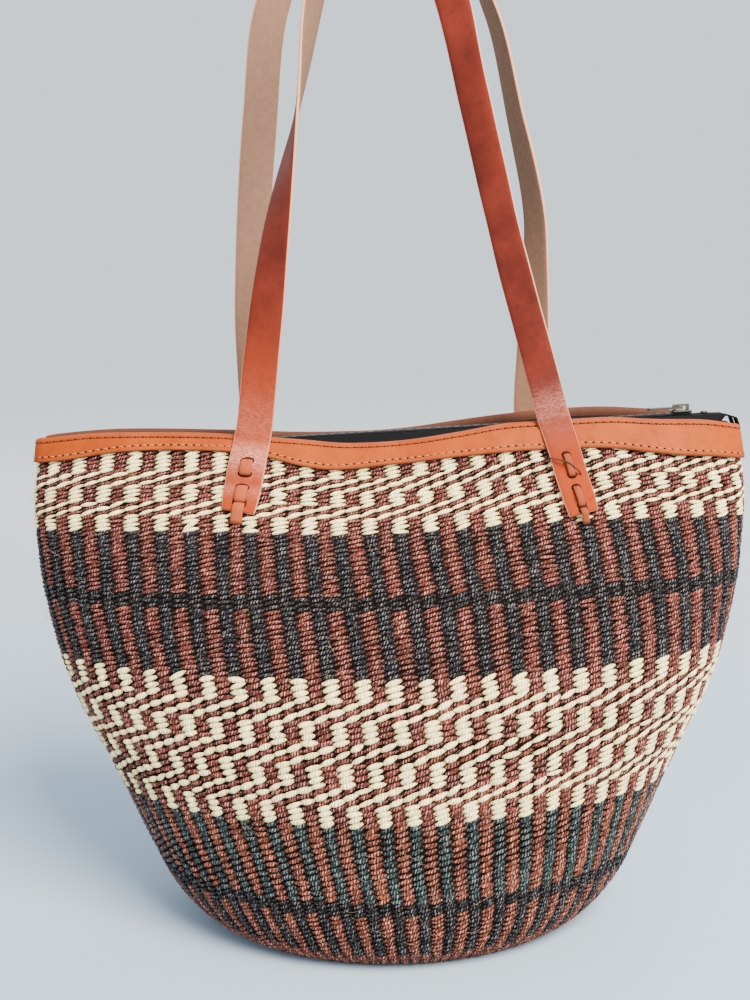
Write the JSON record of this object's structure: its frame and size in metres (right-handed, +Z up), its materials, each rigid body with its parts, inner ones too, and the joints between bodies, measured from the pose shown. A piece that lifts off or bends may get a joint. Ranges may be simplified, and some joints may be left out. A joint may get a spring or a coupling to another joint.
{
  "type": "kiondo basket",
  "caption": "Twined sisal tote basket with a leather-bound flattened mouth, a zip across it, and leather shoulder straps laced on that fold down.",
  "frame": {"origin": "on the surface the basket stands on, under the middle of its base", "axes": "+Z up, X along the mouth with the closed end of the zip at +X, and the front of the basket facing -Y"},
  "size_m": [0.404, 0.188, 0.5726],
  "materials": {
    "sisal_weave": "twined sisal, cream, reddish brown and black",
    "binding_leather": "tan, satin",
    "strap_leather": "orange tan, waxed grain",
    "lacing_leather": "pale tan, soft",
    "zip_tape": "black woven tape",
    "zip_teeth": "black moulded",
    "zip_metal": "antique metal"
  },
  "bodies": {
    "basket": {"woven_body": "sisal_weave", "front_binding": "binding_leather", "rear_binding": "binding_leather", "front_strap_left_end": "strap_leather", "front_strap_right_end": "strap_leather", "rear_strap_left_end": "strap_leather", "rear_strap_right_end": "strap_leather", "front_strap_left_lacing": "lacing_leather", "front_strap_right_lacing": "lacing_leather", "rear_strap_left_lacing": "lacing_leather", "rear_strap_right_lacing": "lacing_leather", "front_zip_tape": "zip_tape", "rear_zip_tape": "zip_tape", "front_zip_teeth": "zip_teeth", "rear_zip_teeth": "zip_teeth", "zip_stop_left": "zip_metal", "zip_stop_right": "zip_metal"},
    "front_strap": {"front_strap_loop": "strap_leather"},
    "rear_strap": {"rear_strap_loop": "strap_leather"},
    "zip_slider": {"zip_slider": "zip_metal"},
    "zip_pull": {"zip_pull": "zip_metal"}
  },
  "joints": [
    {"name": "front_strap_fold", "type": "hinge", "parent": "basket", "child": "front_strap", "pos_m": [0, -0.02766, 0.29547], "axis": [1, 0, 0], "range_deg": [-3, 140]},
    {"name": "rear_strap_fold", "type": "hinge", "parent": "basket", "child": "rear_strap", "pos_m": [0, 0.02766, 0.29796], "axis": [-1, 0, 0], "range_deg": [-3, 140]},
    {"name": "zip_slide", "type": "slide", "parent": "basket", "child": "zip_slider", "axis": [0.9992, 0, 0.04], "range_m": [-0.3355, 0]},
    {"name": "zip_pull_flip", "type": "hinge", "parent": "zip_slider", "child": "zip_pull", "pos_m": [0.16766, 0, 0.29671], "axis": [0, 1, 0], "range_deg": [0, 175]}
  ]
}
